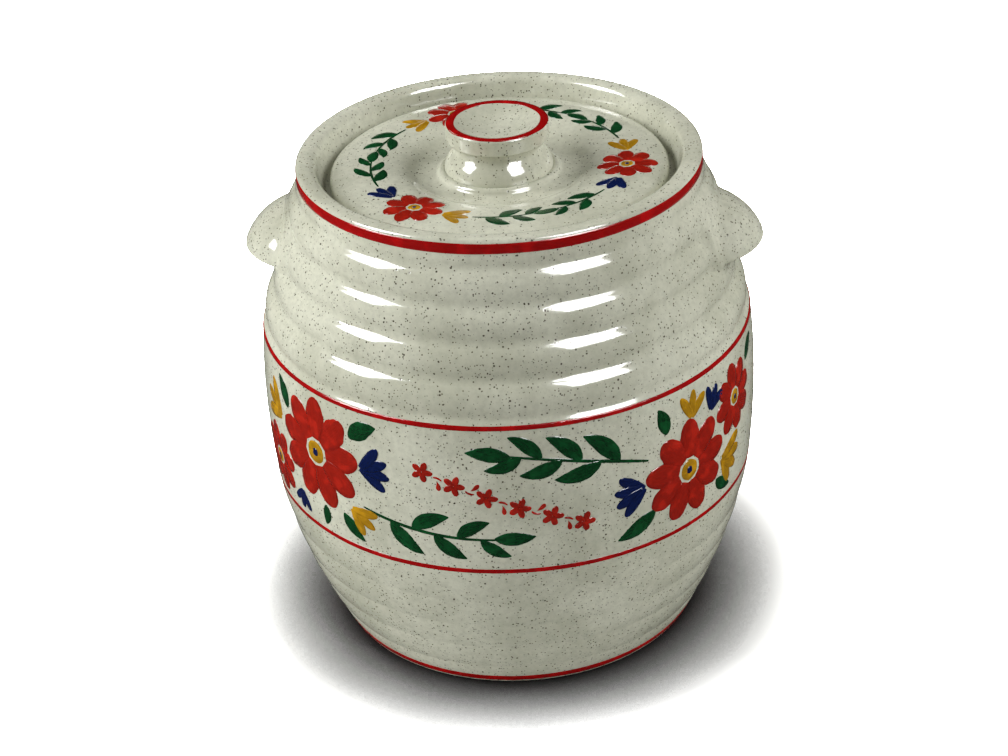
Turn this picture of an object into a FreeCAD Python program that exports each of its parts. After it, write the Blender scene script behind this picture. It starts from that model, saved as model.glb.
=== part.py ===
import FreeCAD, Part
import math
import os
import Sketcher
from FreeCAD import Placement, Rotation, Vector

# Stoneware biscuit jar with a sunken lid, in millimetres.
# Origin on the table under the middle of the foot, +Z up, lugs along +X and -X,
# the painted front towards -Y.

SIZES = [
    # foot and lower wall
    ("foot_radius", 78.8, "outer radius of the foot ring where it stands"),
    ("foot_width", 8.8, "width of the foot ring where it stands"),
    ("foot_recess", 3.0, "depth of the turned recess inside the foot ring"),
    ("foot_recess_slope", 2.5, "how far the recess wall leans in"),
    ("foot_round", 0.8, "rounding of the two edges of the foot ring"),
    ("heel_flare", 1.8, "how far the foot band leans out"),
    ("heel_height", 4.2, "height where the foot band ends"),
    ("lower_wall_fullness", 3.2, "swell of the lower wall past a straight line"),
    ("ring_first_rise", 7.2, "from the foot band up to the lowest throwing ring"),
    ("ring_pitch", 14.4, "spacing of the throwing rings on the lower wall"),
    ("ring_depth", 0.5, "depth of a throwing ring"),
    ("ring_bulge", 0.55, "swell of the wall between two throwing rings"),
    # belly
    ("belly_top_radius", 101.8, "radius at the upper painted line"),
    ("belly_swell", 0.4, "how much wider the belly is at the lower painted line"),
    ("belly_low_height", 72.8, "height of the lower painted line"),
    ("belly_band", 66.1, "from the lower up to the upper painted line"),
    ("belly_bulge", 1.95, "swell of the belly between the painted lines"),
    ("belly_edge_round", 4.0, "rounding where the belly turns into the first valley"),
    # ribbed shoulder
    ("shoulder_step", 2.4, "how far the lowest valley lies inside the upper painted line"),
    ("shoulder_rise", 3.1, "from the upper painted line up to the lowest valley"),
    ("neck_radius", 82.3, "radius at the bottom of the highest valley"),
    ("shoulder_bow", 0.8, "how far the line of the valleys dips inwards"),
    ("rib_bulge", 2.6, "swell of a rib past the line between two valleys"),
    ("valley_round", 3.5, "rounding at the bottom of a valley"),
    # rim
    ("rim_height", 208.6, "height of the rim"),
    ("rim_band", 6.0, "height of the rim's upright band"),
    ("collar", 5.7, "from the highest valley up to the rim's band"),
    ("collar_bulge", 0.5, "swell of the collar under the rim's band"),
    ("rim_step", 0.1, "how far the rim's band lies inside the highest valley"),
    ("rim_width", 7.6, "width of the rim at its top"),
    ("rim_outer_round", 2.4, "rounding of the outer edge of the rim"),
    ("rim_inner_round", 3.6, "rounding of the inner edge of the rim"),
    # inside
    ("wall", 7.0, "thickness of the thrown wall"),
    ("floor_height", 10.0, "height of the inside floor"),
    ("floor_round", 15.0, "rounding between the floor and the wall"),
    ("inside_round", 12.0, "rounding where the inside turns into the shoulder"),
    ("gallery_depth", 13.6, "depth of the lid's seat under the rim"),
    ("gallery_lean", 3.6, "how far the wall of the lid's seat leans in"),
    ("gallery_round", 2.0, "rounding at the root of the lid's seat"),
    ("ledge_width", 8.5, "width of the ledge that carries the lid"),
    ("ledge_edge", 3.5, "thickness of the ledge at its inner edge"),
    ("ledge_round", 1.2, "rounding of the ledge's inner edge"),
    # lugs
    ("lug_drop", 40.0, "from the rim down to the lug's flat underside"),
    ("lug_inset", 13.7, "how far the lug's own axis lies inside the line of the valleys"),
    ("lug_dome_radius", 31.0, "radius of the lug's dome"),
    ("lug_rise", 18.4, "height of the lug's dome over its flat underside"),
    ("lug_swell", 6.8, "swell of the dome past a plain cone"),
    ("lug_edge_round", 1.3, "rounding of the lug's lower edge"),
    ("grip_inset", 10.4, "from the dome's edge in to the middle of the finger groove"),
    ("grip_half_width", 5.6, "half the width of the finger groove"),
    ("grip_depth", 3.2, "depth of the finger groove under the lug"),
    ("welt_low", 3.0, "how far the root welt reaches below the lug's underside"),
    ("welt_high", 2.6, "how far the root welt reaches above the lug's dome"),
    ("welt_spread", 2.6, "how far the root welt reaches past the dome on each side"),
    ("welt_thickness", 4.0, "how far the root welt stands out from the valleys"),
    ("welt_corner", 9.0, "rounding of the root welt's corners"),
    ("welt_round", 1.4, "rounding of the root welt's edges"),
    # lid
    ("lid_clearance", 2.3, "gap between the lid's edge and the wall of its seat"),
    ("lid_edge_thickness", 6.8, "thickness of the lid at its edge"),
    ("lid_edge_round", 2.4, "rounding of the lid's upper edge"),
    ("lid_base_round", 1.0, "rounding of the lid's lower edge"),
    ("ridge_inset", 16.7, "from the lid's edge in to the faint ridge"),
    ("ridge_rise", 1.5, "from the lid's edge up to the faint ridge"),
    ("brim_bulge", 0.9, "swell of the lid between its edge and the ridge"),
    ("dome_bulge", 0.6, "swell of the lid between the ridge and the moat"),
    ("moat_width", 12.0, "width of the moat round the bead"),
    ("moat_shore_drop", 2.0, "from the ridge down to the moat's outer shore"),
    ("moat_slope", 1.6, "how much lower the moat is at the bead than at its outer shore"),
    ("moat_sink", 1.4, "how far the moat sinks under the line between its shores"),
    ("bead_width", 2.65, "width of the bead round the knob"),
    ("bead_rise", 1.9, "from the moat up to the bead's inner edge"),
    ("bead_bulge", 0.9, "swell of the bead"),
    ("seat_depth", 1.0, "how far the knob's seat lies under the bead's inner edge"),
    ("well_thickness", 7.2, "thickness of the lid under the knob's seat"),
    ("well_radius", 33.0, "radius of the flat underside below the knob"),
    ("brim_slope_width", 12.0, "width of the slope from the flat underside to the brim"),
    ("brim_hollow", 1.8, "how far the brim's underside lies over the ledge"),
    ("locating_clearance", 2.0, "gap between the locating ring and the ledge"),
    ("locating_width", 4.0, "width of the locating ring"),
    ("locating_drop", 5.0, "how far the locating ring reaches under the ledge's top"),
    ("locating_round", 1.2, "rounding of the locating ring's lower edges"),
    # knob
    ("knob_foot_radius", 22.1, "radius of the knob's foot"),
    ("knob_joint_gap", 0.25, "gap between the knob's foot and the bead"),
    ("knob_foot_thickness", 1.8, "height of the upright edge of the knob's foot"),
    ("knob_foot_round", 0.6, "rounding of the foot's upper edge"),
    ("knob_flare_inset", 3.8, "how far the foot draws in half way up its flare"),
    ("knob_flare_rise", 6.6, "from the foot's edge up to half way up its flare"),
    ("knob_flare_bulge", 0.5, "swell of the flare"),
    ("knob_waist_spread", 0.1, "how much wider the knob is under its cup than half way up"),
    ("knob_waist_rise", 4.2, "from half way up the flare to the underside of the cup"),
    ("knob_waist_sink", 0.8, "how far the waist draws in"),
    ("knob_cup_overhang", 2.5, "how far the cup overhangs the waist"),
    ("knob_cup_slope", 1.0, "how far the cup's underside rises outwards"),
    ("knob_cup_height", 6.8, "height of the cup's upright wall"),
    ("knob_cup_round", 0.9, "rounding of the cup's edges"),
    ("dish_lip", 3.7, "width of the cup's flat lip"),
    ("dish_depth", 5.0, "depth of the dished top"),
    ("dish_round", 0.7, "rounding of the dish's edge"),
]

# Places that follow from the sizes

FOOT_INNER = "(foot_radius - foot_width)"
HEEL = "(foot_radius + heel_flare)"
BELLY_LOW = "(belly_top_radius + belly_swell)"
BELLY_TOP_HEIGHT = "(belly_low_height + belly_band)"
SHOULDER = "(belly_top_radius - shoulder_step)"
SHOULDER_HEIGHT = f"({BELLY_TOP_HEIGHT} + shoulder_rise)"
BAND_HEIGHT = "(rim_height - rim_band)"
NECK_HEIGHT = f"({BAND_HEIGHT} - collar)"
RIM = "(neck_radius - rim_step)"
MOUTH = f"({RIM} - rim_width)"
GALLERY = f"({MOUTH} - gallery_lean)"
LEDGE = f"({GALLERY} - ledge_width)"
LEDGE_HEIGHT = "(rim_height - gallery_depth)"
LUG_HEIGHT = "(rim_height - lug_drop)"
LID = f"({GALLERY} - lid_clearance)"
LID_EDGE_HEIGHT = f"({LEDGE_HEIGHT} + lid_edge_thickness)"
RIDGE_HEIGHT = f"({LID_EDGE_HEIGHT} + ridge_rise)"
KNOB_HOLE = "(knob_foot_radius + knob_joint_gap)"
BEAD = f"({KNOB_HOLE} + bead_width)"
SHORE_HEIGHT = f"({RIDGE_HEIGHT} - moat_shore_drop)"
BEAD_FOOT_HEIGHT = f"({SHORE_HEIGHT} - moat_slope)"
BEAD_HEIGHT = f"({BEAD_FOOT_HEIGHT} + bead_rise)"
SEAT_HEIGHT = f"({BEAD_HEIGHT} - seat_depth)"
LOCATING_OUTER = f"({LEDGE} - locating_clearance)"
LOCATING_INNER = f"({LOCATING_OUTER} - locating_width)"
FLARE = "(knob_foot_radius - knob_flare_inset)"
WAIST = f"({FLARE} + knob_waist_spread)"
CUP = f"({WAIST} + knob_cup_overhang)"
DISH = f"({CUP} - dish_lip)"
FOOT_EDGE_HEIGHT = f"({SEAT_HEIGHT} + knob_foot_thickness)"
FLARE_HEIGHT = f"({FOOT_EDGE_HEIGHT} + knob_flare_rise)"
WAIST_HEIGHT = f"({FLARE_HEIGHT} + knob_waist_rise)"
CUP_LOW_HEIGHT = f"({WAIST_HEIGHT} + knob_cup_slope)"
KNOB_TOP_HEIGHT = f"({CUP_LOW_HEIGHT} + knob_cup_height)"

RING_COUNT = 4
RIB_COUNT = 4

doc = FreeCAD.newDocument("BiscuitJar")
sheet = doc.addObject("Spreadsheet::Sheet", "Sizes")
for row, (alias, size, note) in enumerate(SIZES, start=1):
    sheet.set(f"A{row}", note)
    sheet.set(f"B{row}", str(size))
    sheet.setAlias(f"B{row}", alias)
doc.recompute()


def size(formula):
    """The number that a formula of named sizes stands for."""
    return float(sheet.evalExpression(formula))


def bound(formula):
    """The same formula as other objects of the document write it."""
    words = {alias for alias, number, note in SIZES}
    parts = []
    word = ""
    for letter in formula + " ":
        if letter.isalnum() or letter == "_":
            word += letter
            continue
        parts.append(f"Sizes.{word}" if word in words else word)
        parts.append(letter)
        word = ""
    return "".join(parts).strip()


def origin_plane(body, role):
    for feature in body.Origin.OriginFeatures:
        if feature.Role == role:
            return feature
    raise RuntimeError(f"{body.Label} has no {role}")


def make_body(label):
    body = doc.addObject("PartDesign::Body", label)
    body.Label = label
    doc.recompute()
    return body


def bend_radius(start, end, bulge):
    """Formula for the radius of an arc that swells by bulge past its chord."""
    across = f"({end[0]} - ({start[0]}))"
    along = f"({end[1]} - ({start[1]}))"
    return f"(({across}) ^ 2 + ({along}) ^ 2) / (8 * {bulge}) + ({bulge}) / 2"


def arc_between(start, end, bulge):
    """Arc from start to end that swells to the right of the way between them.

    Returns the curve and the numbers of its ends at start and at end, because
    a sketch always counts an arc's ends anticlockwise.
    """
    chord = end - start
    radius = chord.Length ** 2 / (8 * abs(bulge)) + abs(bulge) / 2
    right = Vector(chord.y, -chord.x, 0).normalize()
    side = math.copysign(1, bulge)
    centre = (start + end) / 2 + right * side * (abs(bulge) - radius)
    first, last = (start, end) if side > 0 else (end, start)
    first_angle = math.atan2(first.y - centre.y, first.x - centre.x)
    last_angle = math.atan2(last.y - centre.y, last.x - centre.x)
    if last_angle < first_angle:
        last_angle += 2 * math.pi
    circle = Part.Circle(centre, Vector(0, 0, 1), radius)
    ends = (1, 2) if side > 0 else (2, 1)
    return Part.ArcOfCircle(circle, first_angle, last_angle), ends


def pin(sketch, kind, curve, end, formula):
    """Hold one coordinate of a curve's end at a formula of the sheet."""
    if formula == "0":
        axis = -2 if kind == "DistanceX" else -1
        sketch.addConstraint(Sketcher.Constraint("PointOnObject", curve, end, axis))
        return
    number = sketch.addConstraint(
        Sketcher.Constraint(kind, -1, 1, curve, end, size(formula))
    )
    sketch.setExpression(f"Constraints[{number}]", bound(formula))


def draw_outline(body, label, corners, axis_at="0", base_at="0"):
    """Closed outline in the XZ plane, about an upright axis at axis_at.

    Each corner is (radius, height, bulge): formulas of the sheet, and a bulge
    for the stretch up to the next corner, or None where it is straight. A
    leading minus hollows the stretch instead.
    """
    sketch = body.newObject("Sketcher::SketchObject", label)
    sketch.AttachmentSupport = (origin_plane(body, "XZ_Plane"), [""])
    sketch.MapMode = "FlatFace"
    sketch.setExpression("AttachmentOffset.Base.x", bound(axis_at))
    sketch.setExpression("AttachmentOffset.Base.y", bound(base_at))
    places = [Vector(size(radius), size(height), 0) for radius, height, bulge in corners]
    ends = []
    for number, (radius, height, bulge) in enumerate(corners):
        start = places[number]
        end = places[(number + 1) % len(places)]
        if bulge is None:
            sketch.addGeometry(Part.LineSegment(start, end))
            ends.append((1, 2))
            continue
        arc, arc_ends = arc_between(start, end, size(bulge))
        sketch.addGeometry(arc)
        ends.append(arc_ends)
    for number, (radius, height, bulge) in enumerate(corners):
        before = number - 1 if number else len(corners) - 1
        start_end = ends[number][0]
        sketch.addConstraint(
            Sketcher.Constraint("Coincident", before, ends[before][1], number, start_end)
        )
        pin(sketch, "DistanceX", number, start_end, radius)
        pin(sketch, "DistanceY", number, start_end, height)
        if bulge is None:
            continue
        following = corners[(number + 1) % len(corners)]
        formula = bend_radius((radius, height), following, f"({bulge.lstrip('-')})")
        constraint = sketch.addConstraint(
            Sketcher.Constraint("Radius", number, size(formula))
        )
        sketch.setExpression(f"Constraints[{constraint}]", bound(formula))
    doc.recompute()
    return sketch


def turn(body, kind, label, sketch):
    """Turn an outline about the jar's axis, as on a wheel."""
    before = body.Shape.Volume if body.Tip else 0
    feature = body.newObject(f"PartDesign::{kind}", label)
    feature.Profile = sketch
    feature.ReferenceAxis = (sketch, ["V_Axis"])
    feature.Angle = 360
    doc.recompute()
    after = body.Shape.Volume
    if (after > before) != (kind == "Revolution"):
        raise RuntimeError(f"{label} changed the volume the wrong way")
    return feature


def round_edges(body, label, radius, chosen):
    """Round the edges of the body's last feature that chosen() picks."""
    base = body.Tip
    names = [
        f"Edge{number}"
        for number, edge in enumerate(base.Shape.Edges, start=1)
        if chosen(edge)
    ]
    if not names:
        raise RuntimeError(f"{label} found no edge to round")
    fillet = body.newObject("PartDesign::Fillet", label)
    fillet.Base = (base, names)
    fillet.setExpression("Radius", bound(radius))
    doc.recompute()
    return fillet


def ring_edge(*places):
    """Picks the round edges at the given (radius, height) formulas."""
    wanted = [(size(radius), size(height)) for radius, height in places]

    def chosen(edge):
        if edge.Degenerated or not isinstance(edge.Curve, Part.Circle):
            return False
        found = (edge.Curve.Radius, edge.Curve.Center.z)
        return any(math.dist(found, place) < 0.001 for place in wanted)

    return chosen


# Outer form of the pot, shared by the pot and by the lugs' roots

def lower_wall_radius(height):
    share = f"(({height}) - heel_height) / (belly_low_height - heel_height)"
    straight = f"{HEEL} + ({BELLY_LOW} - {HEEL}) * ({share})"
    return f"{straight} + 4 * lower_wall_fullness * ({share}) * (1 - ({share}))"


def valley_height(number):
    return f"{SHOULDER_HEIGHT} + ({NECK_HEIGHT} - {SHOULDER_HEIGHT}) * {number} / {RIB_COUNT}"


def valley_radius(number):
    share = f"{number} / {RIB_COUNT}"
    straight = f"{SHOULDER} + (neck_radius - {SHOULDER}) * {share}"
    return f"{straight} - 4 * shoulder_bow * {share} * (1 - {share})"


def shoulder_line(height):
    """Radius of the valleys at the line's deepest bow, at any height."""
    share = f"({height} - {SHOULDER_HEIGHT}) / ({NECK_HEIGHT} - {SHOULDER_HEIGHT})"
    return f"{SHOULDER} + (neck_radius - {SHOULDER}) * {share} - shoulder_bow"


def outer_corners():
    corners = [
        ("0", "foot_recess", None),
        (f"{FOOT_INNER} - foot_recess_slope", "foot_recess", None),
        (FOOT_INNER, "0", None),
        ("foot_radius", "0", None),
        (HEEL, "heel_height", "ring_bulge / 2"),
    ]
    for number in range(RING_COUNT):
        height = f"heel_height + ring_first_rise + ring_pitch * {number}"
        corners.append((f"{lower_wall_radius(height)} - ring_depth", height, "ring_bulge"))
    corners.append((BELLY_LOW, "belly_low_height", "belly_bulge"))
    corners.append(("belly_top_radius", BELLY_TOP_HEIGHT, None))
    for number in range(RIB_COUNT):
        corners.append((valley_radius(number), valley_height(number), "rib_bulge"))
    corners += [
        (valley_radius(RIB_COUNT), valley_height(RIB_COUNT), "collar_bulge"),
        (RIM, BAND_HEIGHT, None),
        (RIM, "rim_height", None),
        ("0", "rim_height", None),
    ]
    return corners


def add_outer_form(body):
    """The pot as if solid: belly, throwing rings and ribbed shoulder."""
    sketch = draw_outline(body, "OuterOutline", outer_corners())
    turn(body, "Revolution", "OuterForm", sketch)
    valleys = [(valley_radius(n), valley_height(n)) for n in range(RIB_COUNT + 1)]
    round_edges(body, "ValleyRounds", "valley_round", ring_edge(*valleys))
    belly_edge = ring_edge(("belly_top_radius", BELLY_TOP_HEIGHT))
    round_edges(body, "BellyEdgeRound", "belly_edge_round", belly_edge)


# Pot

def hollow_corners():
    neck = 1 + RIB_COUNT // 2
    return [
        ("0", "floor_height", None),
        (f"{lower_wall_radius('floor_height')} - wall", "floor_height", "lower_wall_fullness"),
        (f"{BELLY_LOW} - wall", "belly_low_height", "belly_bulge"),
        ("belly_top_radius - wall", BELLY_TOP_HEIGHT, None),
        (f"{valley_radius(neck)} - wall", valley_height(neck), None),
        (LEDGE, f"{LEDGE_HEIGHT} - ledge_edge", None),
        (LEDGE, LEDGE_HEIGHT, None),
        (GALLERY, LEDGE_HEIGHT, None),
        (MOUTH, "rim_height", None),
        (MOUTH, "rim_height + wall", None),
        ("0", "rim_height + wall", None),
    ]


def make_jar_body():
    body = make_body("jar_body")
    add_outer_form(body)
    sketch = draw_outline(body, "HollowOutline", hollow_corners())
    turn(body, "Groove", "Hollow", sketch)
    floor_edge = ring_edge((f"{lower_wall_radius('floor_height')} - wall", "floor_height"))
    round_edges(body, "FloorRound", "floor_round", floor_edge)
    shoulder_edge = ring_edge(("belly_top_radius - wall", BELLY_TOP_HEIGHT))
    round_edges(body, "InsideShoulderRound", "inside_round", shoulder_edge)
    seat_root = ring_edge((GALLERY, LEDGE_HEIGHT))
    round_edges(body, "GalleryRound", "gallery_round", seat_root)
    ledge_edges = ring_edge((LEDGE, LEDGE_HEIGHT), (LEDGE, f"{LEDGE_HEIGHT} - ledge_edge"))
    round_edges(body, "LedgeRound", "ledge_round", ledge_edges)
    round_edges(body, "RimOuterRound", "rim_outer_round", ring_edge((RIM, "rim_height")))
    round_edges(body, "RimInnerRound", "rim_inner_round", ring_edge((MOUTH, "rim_height")))
    foot_edges = ring_edge(("foot_radius", "0"), (FOOT_INNER, "0"))
    round_edges(body, "FootRound", "foot_round", foot_edges)
    return body


# Lugs

def welt_corners():
    """Section of the root welt: a band that runs parallel to the valleys."""
    low = f"({LUG_HEIGHT} - welt_low)"
    high = f"({LUG_HEIGHT} + lug_rise + welt_high)"
    return [
        (LEDGE, low, None),
        (f"{shoulder_line(low)} + welt_thickness", low, None),
        (f"{shoulder_line(high)} + welt_thickness", high, None),
        (LEDGE, high, None),
    ]


def make_welt(label):
    """Band of clay that joins the dome to the pot, before it is cut to seat."""
    welt = make_body(f"{label}_welt")
    sketch = draw_outline(welt, "WeltOutline", welt_corners())
    band = welt.newObject("PartDesign::Revolution", "WeltBand")
    band.Profile = sketch
    band.ReferenceAxis = (sketch, ["V_Axis"])
    band.Midplane = True
    spread = f"2 * asin((lug_dome_radius + welt_spread) / {SHOULDER})"
    band.setExpression("Angle", bound(spread))
    doc.recompute()
    round_edges(
        welt,
        "WeltCorners",
        "welt_corner",
        lambda edge: isinstance(edge.Curve, Part.Line) and edge.BoundBox.ZLength < 0.001,
    )
    round_edges(
        welt,
        "WeltRound",
        "welt_round",
        lambda edge: edge.BoundBox.XMin > size(GALLERY),
    )
    return welt


def make_dome(label):
    """Shell-shaped grip, turned about its own axis, with a finger groove under it."""
    dome = make_body(f"{label}_dome")
    centre = f"{shoulder_line(LUG_HEIGHT)} - lug_inset"
    dome_corners = [
        ("0", "0", None),
        ("lug_dome_radius", "0", "lug_swell"),
        ("0", "lug_rise", None),
    ]
    sketch = draw_outline(dome, "DomeOutline", dome_corners, centre, LUG_HEIGHT)
    turn(dome, "Revolution", "DomeForm", sketch)
    lower_edge = ring_edge(("lug_dome_radius", LUG_HEIGHT))
    round_edges(dome, "DomeEdgeRound", "lug_edge_round", lower_edge)
    groove_corners = [
        ("lug_dome_radius - grip_inset - grip_half_width", "0", None),
        ("lug_dome_radius - grip_inset + grip_half_width", "0", "grip_depth"),
    ]
    sketch = draw_outline(dome, "GripOutline", groove_corners, centre, LUG_HEIGHT)
    turn(dome, "Groove", "FingerGroove", sketch)
    return dome


def make_lug(label, turn_angle, pot_form):
    """Dome and welt in one piece, cut to seat on the ribbed shoulder."""
    whole = doc.addObject("Part::MultiFuse", f"{label}_whole")
    whole.Shapes = [make_dome(label), make_welt(label)]
    lug = doc.addObject("Part::Cut", label)
    lug.Label = label
    lug.Base = whole
    lug.Tool = pot_form
    lug.Placement = Placement(Vector(0, 0, 0), Rotation(Vector(0, 0, 1), turn_angle))
    doc.recompute()
    return lug


# Lid

def lid_corners():
    return [
        ("0", f"{SEAT_HEIGHT} - well_thickness", None),
        ("well_radius", f"{SEAT_HEIGHT} - well_thickness", None),
        ("well_radius + brim_slope_width", f"{LEDGE_HEIGHT} + brim_hollow", None),
        (LOCATING_INNER, f"{LEDGE_HEIGHT} + brim_hollow", None),
        (LOCATING_INNER, f"{LEDGE_HEIGHT} - locating_drop", None),
        (LOCATING_OUTER, f"{LEDGE_HEIGHT} - locating_drop", None),
        (LOCATING_OUTER, LEDGE_HEIGHT, None),
        (LID, LEDGE_HEIGHT, None),
        (LID, LID_EDGE_HEIGHT, "brim_bulge"),
        (f"{LID} - ridge_inset", RIDGE_HEIGHT, "dome_bulge"),
        (f"{BEAD} + moat_width", SHORE_HEIGHT, "-moat_sink"),
        (BEAD, BEAD_FOOT_HEIGHT, "bead_bulge"),
        (KNOB_HOLE, BEAD_HEIGHT, None),
        (KNOB_HOLE, SEAT_HEIGHT, None),
        ("0", SEAT_HEIGHT, None),
    ]


def make_lid():
    body = make_body("lid")
    sketch = draw_outline(body, "LidOutline", lid_corners())
    turn(body, "Revolution", "LidForm", sketch)
    round_edges(body, "LidEdgeRound", "lid_edge_round", ring_edge((LID, LID_EDGE_HEIGHT)))
    round_edges(body, "LidBaseRound", "lid_base_round", ring_edge((LID, LEDGE_HEIGHT)))
    ring_edges = ring_edge(
        (LOCATING_OUTER, f"{LEDGE_HEIGHT} - locating_drop"),
        (LOCATING_INNER, f"{LEDGE_HEIGHT} - locating_drop"),
    )
    round_edges(body, "LocatingRound", "locating_round", ring_edges)
    return body


# Knob

def knob_corners():
    dish_bend = f"({DISH} ^ 2 + dish_depth ^ 2) / (2 * dish_depth)"
    half_chord = f"({DISH} ^ 2 + dish_depth ^ 2) / 4"
    dish_bulge = f"{dish_bend} - sqrt(({dish_bend}) ^ 2 - {half_chord})"
    return [
        ("0", SEAT_HEIGHT, None),
        ("knob_foot_radius", SEAT_HEIGHT, None),
        ("knob_foot_radius", FOOT_EDGE_HEIGHT, "knob_flare_bulge"),
        (FLARE, FLARE_HEIGHT, "-knob_waist_sink"),
        (WAIST, WAIST_HEIGHT, None),
        (CUP, CUP_LOW_HEIGHT, None),
        (CUP, KNOB_TOP_HEIGHT, None),
        (DISH, KNOB_TOP_HEIGHT, f"-({dish_bulge})"),
        ("0", f"{KNOB_TOP_HEIGHT} - dish_depth", None),
    ]


def make_lid_knob():
    body = make_body("lid_knob")
    sketch = draw_outline(body, "KnobOutline", knob_corners())
    turn(body, "Revolution", "KnobForm", sketch)
    cup_edges = ring_edge((CUP, CUP_LOW_HEIGHT), (CUP, KNOB_TOP_HEIGHT))
    round_edges(body, "CupRound", "knob_cup_round", cup_edges)
    foot_edge = ring_edge(("knob_foot_radius", FOOT_EDGE_HEIGHT))
    round_edges(body, "FootEdgeRound", "knob_foot_round", foot_edge)
    dish_edge = ring_edge((DISH, KNOB_TOP_HEIGHT))
    round_edges(body, "DishRound", "dish_round", dish_edge)
    return body


pot_form = make_body("pot_form")
add_outer_form(pot_form)

pieces = [
    make_jar_body(),
    make_lug("lug_right", 0, pot_form),
    make_lug("lug_left", 180, pot_form),
    make_lid(),
    make_lid_knob(),
]
doc.recompute()

for item in doc.Objects:
    if "Invalid" in item.State or "Error" in item.State:
        raise RuntimeError(f"{item.Label} failed: {item.State}")
for piece in pieces:
    if piece.Shape.isNull() or not piece.Shape.isValid():
        raise RuntimeError(f"{piece.Label} has no valid shape")

os.makedirs("parts", exist_ok=True)
for piece in pieces:
    piece.Shape.exportStep(f"parts/{piece.Label}.step")
    print(piece.Label, len(piece.Shape.Solids), "solid,", round(piece.Shape.Volume), "mm3")
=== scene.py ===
import math
import random
from functools import cache

import bpy
from bpy.props import FloatProperty, FloatVectorProperty, IntProperty, PointerProperty
from mathutils import Matrix, Vector, noise


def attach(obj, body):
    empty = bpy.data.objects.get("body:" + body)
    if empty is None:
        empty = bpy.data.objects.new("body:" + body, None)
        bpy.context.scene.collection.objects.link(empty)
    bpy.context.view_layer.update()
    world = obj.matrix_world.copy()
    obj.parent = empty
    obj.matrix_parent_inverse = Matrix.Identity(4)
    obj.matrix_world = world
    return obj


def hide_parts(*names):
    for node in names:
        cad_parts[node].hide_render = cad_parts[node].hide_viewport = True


bl_info = {
    "name": "Biscuit Jar",
    "version": (1, 0, 0),
    "blender": (4, 5, 0),
    "location": "View3D > Sidebar > Jar",
    "description": "Glazed stoneware biscuit jar with brush-painted flowers and a sunken lid",
    "category": "Object",
}

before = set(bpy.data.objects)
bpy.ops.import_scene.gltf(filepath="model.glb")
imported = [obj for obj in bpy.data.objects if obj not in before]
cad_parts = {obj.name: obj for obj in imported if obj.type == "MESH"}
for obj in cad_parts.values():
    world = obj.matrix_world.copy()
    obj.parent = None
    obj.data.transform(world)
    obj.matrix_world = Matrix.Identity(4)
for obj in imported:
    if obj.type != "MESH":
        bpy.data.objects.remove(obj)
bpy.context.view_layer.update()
MM = 0.001


# Settings

class JarShape(bpy.types.PropertyGroup):
    turn_steps: IntProperty(
        name="Steps", description="Faces round each turned piece", default=192, min=48)
    throwing_wobble: FloatProperty(
        name="Wobble", description="How uneven the potter's hands left the wall",
        default=0.00022, unit="LENGTH")
    paint_lift: FloatProperty(
        name="Paint lift", description="Thickness of a layer of paint",
        default=0.00004, unit="LENGTH")
    line_wobble: FloatProperty(
        name="Line wobble", description="How uneven the edge of a painted line is",
        default=0.00022, unit="LENGTH")


class JarColours(bpy.types.PropertyGroup):
    glaze: FloatVectorProperty(
        name="Glaze", description="Off-white of the glaze",
        default=(0.63, 0.635, 0.515), subtype="COLOR")
    glaze_thin: FloatVectorProperty(
        name="Thin glaze", description="Greyer tone where the glaze runs thin",
        default=(0.46, 0.465, 0.36), subtype="COLOR")
    iron: FloatVectorProperty(
        name="Iron", description="Colour of the iron specks",
        default=(0.035, 0.022, 0.012), subtype="COLOR")
    red: FloatVectorProperty(
        name="Red", description="Red of the petals",
        default=(0.33, 0.012, 0.005), subtype="COLOR")
    line_red: FloatVectorProperty(
        name="Line red", description="Red of the banded lines",
        default=(0.33, 0.002, 0.002), subtype="COLOR")
    green: FloatVectorProperty(
        name="Green", description="Green of the leaves",
        default=(0.0035, 0.055, 0.014), subtype="COLOR")
    yellow: FloatVectorProperty(
        name="Yellow", description="Yellow of the petals",
        default=(0.42, 0.215, 0.006), subtype="COLOR")
    blue: FloatVectorProperty(
        name="Blue", description="Blue of the petals",
        default=(0.002, 0.007, 0.046), subtype="COLOR")


class JarStage(bpy.types.PropertyGroup):
    distance: FloatProperty(
        name="Distance", description="From the camera to the middle of the jar",
        default=0.93989, unit="LENGTH")
    height: FloatProperty(
        name="Aim height", description="Height that the camera aims at",
        default=0.1015, unit="LENGTH")
    aside: FloatProperty(
        name="Aside", description="How far left of the axis the camera aims",
        default=0.002589, unit="LENGTH")
    rise: FloatProperty(
        name="Rise", description="How steeply the camera looks down",
        default=math.radians(30.3145), unit="ROTATION")
    turn: FloatProperty(
        name="Turn", description="How far the camera stands to the right of the front",
        default=math.radians(5.7), unit="ROTATION")
    tilt: FloatProperty(
        name="Tilt", description="How far the camera is rolled about its line of sight",
        default=math.radians(-3.049), unit="ROTATION")
    lens: FloatProperty(
        name="Lens", description="Focal length on a 36 mm wide sensor", default=78.57)
    window_power: FloatProperty(
        name="Windows", description="Power of each of the two windows that the glaze mirrors",
        default=190.0, unit="POWER")
    left_power: FloatProperty(
        name="Left lamp", description="Power of the broad lamp on the left",
        default=23.0, unit="POWER")
    right_power: FloatProperty(
        name="Right lamp", description="Power of the broad lamp on the right",
        default=14.5, unit="POWER")
    sky: FloatProperty(
        name="Sky", description="Strength of the soft light from all round", default=0.32)
    mirrored_sky: FloatProperty(
        name="Mirrored sky", description="Strength of the room as the glaze mirrors it",
        default=0.03)
    floor_shade: FloatProperty(
        name="Paper", description="How white the paper photographs", default=9.0)


def settings_shape():
    return bpy.context.scene.jar_shape


# Turned forms

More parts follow.
